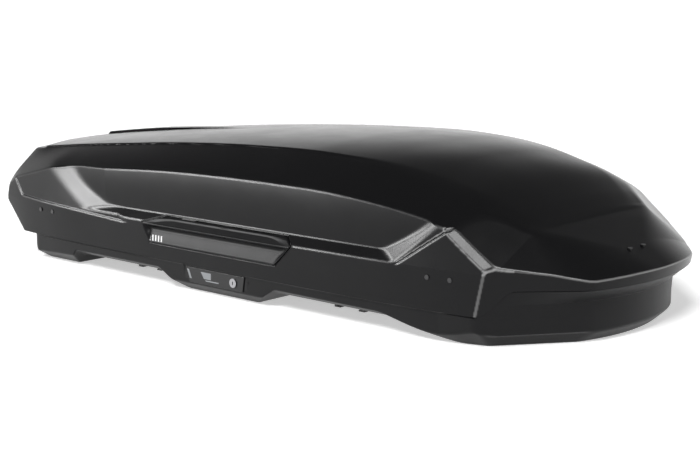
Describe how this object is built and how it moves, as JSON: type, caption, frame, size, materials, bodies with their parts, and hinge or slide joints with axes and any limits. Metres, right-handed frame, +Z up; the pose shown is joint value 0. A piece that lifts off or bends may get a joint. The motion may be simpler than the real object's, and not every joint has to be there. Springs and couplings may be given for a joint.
{
  "type": "roof cargo box",
  "caption": "Long faceted black roof box: hinged lid, tray base with sliding roof-bar clamps, pull handle, key lock and hook latches.",
  "frame": {"origin": "centre of the outline on the ground plane under the bellies of the base", "axes": "+X towards the nose, +Y towards the hinge side, +Z up; the lock and handle are on -Y"},
  "size_m": [2.113, 0.9177, 0.434],
  "materials": {
    "shell_black": "gloss, fine leather grain on the base",
    "rubber_black": "matte",
    "rivet_black": "satin",
    "beam_aluminium": "mill finish",
    "trim_black": "satin",
    "badge_light": "gloss",
    "steel_zinc": "zinc plated",
    "steel_black": "black powder coat",
    "plate_black": "satin",
    "lock_chrome": "polished",
    "knob_black": "satin"
  },
  "bodies": {
    "base": {"base_shell": "shell_black", "edge_seal": "rubber_black", "rod_guides": "trim_black", "lock_plate": "plate_black", "lock_housing": "trim_black", "clamp_plates": "steel_zinc", "hinge_base_rear": "steel_black", "hinge_base_middle": "steel_black", "hinge_base_front": "steel_black", "hinge_pins": "steel_zinc", "lifter_bracket_rear": "steel_black", "lifter_bracket_front": "steel_black", "lifter_pin_rear": "steel_zinc", "lifter_pin_front": "steel_zinc"},
    "lid": {"lid_shell": "shell_black", "side_rivets": "rivet_black", "hood_rivets": "rivet_black", "lid_beam_rear": "beam_aluminium", "lid_beam_middle": "beam_aluminium", "lid_beam_front": "beam_aluminium", "handle_cup": "trim_black", "handle_pin": "steel_zinc", "handle_spring": "steel_zinc", "strikers": "steel_zinc", "hinge_lid_rear": "steel_black", "hinge_lid_middle": "steel_black", "hinge_lid_front": "steel_black", "lifter_track_rear": "steel_black", "lifter_track_front": "steel_black"},
    "handle": {"handle_flap": "trim_black", "handle_badge": "badge_light"},
    "latch": {"latch_rod": "steel_zinc", "latch_hooks": "steel_zinc"},
    "key": {"key_cylinder": "lock_chrome", "lock_cam": "steel_zinc"},
    "lifter_rear": {"lifter_arm_rear": "steel_zinc"},
    "lifter_front": {"lifter_arm_front": "steel_zinc"},
    "carrier_rear_right": {"clamp_frame_rear_right": "steel_black"},
    "jaw_rear_right": {"clamp_jaw_rear_right": "steel_black"},
    "screw_rear_right": {"clamp_screw_rear_right": "steel_zinc", "clamp_knob_rear_right": "knob_black"},
    "carrier_rear_left": {"clamp_frame_rear_left": "steel_black"},
    "jaw_rear_left": {"clamp_jaw_rear_left": "steel_black"},
    "screw_rear_left": {"clamp_screw_rear_left": "steel_zinc", "clamp_knob_rear_left": "knob_black"},
    "carrier_front_right": {"clamp_frame_front_right": "steel_black"},
    "jaw_front_right": {"clamp_jaw_front_right": "steel_black"},
    "screw_front_right": {"clamp_screw_front_right": "steel_zinc", "clamp_knob_front_right": "knob_black"},
    "carrier_front_left": {"clamp_frame_front_left": "steel_black"},
    "jaw_front_left": {"clamp_jaw_front_left": "steel_black"},
    "screw_front_left": {"clamp_screw_front_left": "steel_zinc", "clamp_knob_front_left": "knob_black"}
  },
  "joints": [
    {"name": "lid_hinge", "type": "hinge", "parent": "base", "child": "lid", "pos_m": [0, 0.451, 0.077], "axis": [-1, 0, 0], "range_deg": [0, 50]},
    {"name": "handle_pull", "type": "hinge", "parent": "lid", "child": "handle", "pos_m": [0, -0.4385, 0.199], "axis": [-1, 0, 0], "range_deg": [0, 24], "stiffness_Nm_per_rad": 3, "springref_deg": -17.19},
    {"name": "latch_slide", "type": "slide", "parent": "base", "child": "latch", "axis": [1, 0, 0], "range_m": [0, 0.01697]},
    {"name": "key_turn", "type": "hinge", "parent": "base", "child": "key", "pos_m": [0.012, -0.43, 0.052], "axis": [0, 1, 0], "range_deg": [0, 90]},
    {"name": "lifter_rear_swing", "type": "hinge", "parent": "base", "child": "lifter_rear", "pos_m": [-0.85, 0.26307, 0.105], "axis": [-1, 0, 0], "range_deg": [0, 100]},
    {"name": "lifter_front_swing", "type": "hinge", "parent": "base", "child": "lifter_front", "pos_m": [0.76, 0.26307, 0.105], "axis": [-1, 0, 0], "range_deg": [0, 100]},
    {"name": "clamp_rear_right_slide", "type": "slide", "parent": "base", "child": "carrier_rear_right", "axis": [1, 0, 0], "range_m": [-0.03, 0.03]},
    {"name": "clamp_rear_right_knob", "type": "hinge", "parent": "carrier_rear_right", "child": "screw_rear_right", "pos_m": [-0.486, -0.3, 0.059], "axis": [1, 0, 0], "range_deg": [0, 1080]},
    {"name": "clamp_rear_right_jaw", "type": "slide", "parent": "carrier_rear_right", "child": "jaw_rear_right", "axis": [1, 0, 0], "range_m": [-0.012, 0]},
    {"name": "clamp_rear_left_slide", "type": "slide", "parent": "base", "child": "carrier_rear_left", "axis": [1, 0, 0], "range_m": [-0.03, 0.03]},
    {"name": "clamp_rear_left_knob", "type": "hinge", "parent": "carrier_rear_left", "child": "screw_rear_left", "pos_m": [-0.486, 0.3, 0.059], "axis": [1, 0, 0], "range_deg": [0, 1080]},
    {"name": "clamp_rear_left_jaw", "type": "slide", "parent": "carrier_rear_left", "child": "jaw_rear_left", "axis": [1, 0, 0], "range_m": [-0.012, 0]},
    {"name": "clamp_front_right_slide", "type": "slide", "parent": "base", "child": "carrier_front_right", "axis": [1, 0, 0], "range_m": [-0.03, 0.03]},
    {"name": "clamp_front_right_knob", "type": "hinge", "parent": "carrier_front_right", "child": "screw_front_right", "pos_m": [0.309, -0.3, 0.059], "axis": [1, 0, 0], "range_deg": [0, 1080]},
    {"name": "clamp_front_right_jaw", "type": "slide", "parent": "carrier_front_right", "child": "jaw_front_right", "axis": [1, 0, 0], "range_m": [-0.012, 0]},
    {"name": "clamp_front_left_slide", "type": "slide", "parent": "base", "child": "carrier_front_left", "axis": [1, 0, 0], "range_m": [-0.03, 0.03]},
    {"name": "clamp_front_left_knob", "type": "hinge", "parent": "carrier_front_left", "child": "screw_front_left", "pos_m": [0.309, 0.3, 0.059], "axis": [1, 0, 0], "range_deg": [0, 1080]},
    {"name": "clamp_front_left_jaw", "type": "slide", "parent": "carrier_front_left", "child": "jaw_front_left", "axis": [1, 0, 0], "range_m": [-0.012, 0]}
  ],
  "couplings": [
    {"joint": "key_turn", "follows": "latch_slide", "rad_per_m": 92.56},
    {"joint": "lifter_rear_swing", "follows": "lid_hinge", "ratio": 2},
    {"joint": "lifter_front_swing", "follows": "lid_hinge", "ratio": 2},
    {"joint": "clamp_rear_right_knob", "follows": "clamp_rear_right_jaw", "rad_per_m": -1570.8},
    {"joint": "clamp_rear_left_knob", "follows": "clamp_rear_left_jaw", "rad_per_m": -1570.8},
    {"joint": "clamp_front_right_knob", "follows": "clamp_front_right_jaw", "rad_per_m": -1570.8},
    {"joint": "clamp_front_left_knob", "follows": "clamp_front_left_jaw", "rad_per_m": -1570.8}
  ]
}
